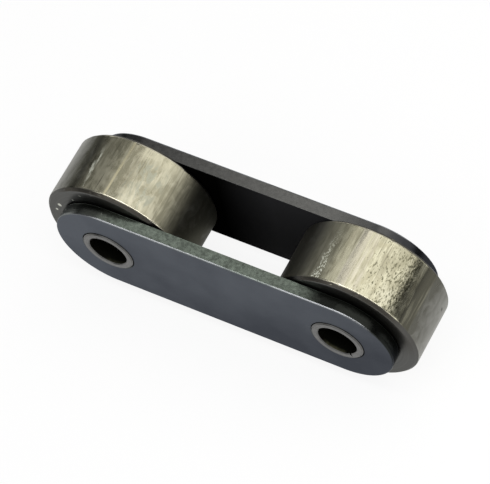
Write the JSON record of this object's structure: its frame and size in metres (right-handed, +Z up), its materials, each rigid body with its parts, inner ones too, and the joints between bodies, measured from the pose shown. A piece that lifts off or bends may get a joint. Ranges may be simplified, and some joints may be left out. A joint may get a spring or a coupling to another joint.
{
  "type": "hollow pin chain roller link",
  "caption": "Roller link of a hollow pin conveyor chain: side plates on pressed-in tubular bushes, with large plain steel rollers that turn freely on the bushes.",
  "frame": {"origin": "midway between the two bush axes and halfway between the side plates", "axes": "+X along the chain, +Y along the bushes, +Z up"},
  "size_m": [0.129, 0.0332, 0.049],
  "materials": {
    "side_plate_steel": "satin dark slate-grey oxide coat with bare grey sheared edges",
    "bush_steel": "satin machined steel",
    "roller_steel": "worn bright steel tread with streaks along the axis"
  },
  "bodies": {
    "link_frame": {"front_side_plate": "side_plate_steel", "rear_side_plate": "side_plate_steel", "left_bush": "bush_steel", "right_bush": "bush_steel"},
    "left_roller": {"left_roller": "roller_steel"},
    "right_roller": {"right_roller": "roller_steel"}
  },
  "joints": [
    {"name": "left_roller_spin", "type": "hinge", "parent": "link_frame", "child": "left_roller", "pos_m": [-0.04, 0, 0], "axis": [0, 1, 0], "continuous": true},
    {"name": "right_roller_spin", "type": "hinge", "parent": "link_frame", "child": "right_roller", "pos_m": [0.04, 0, 0], "axis": [0, 1, 0], "continuous": true}
  ]
}
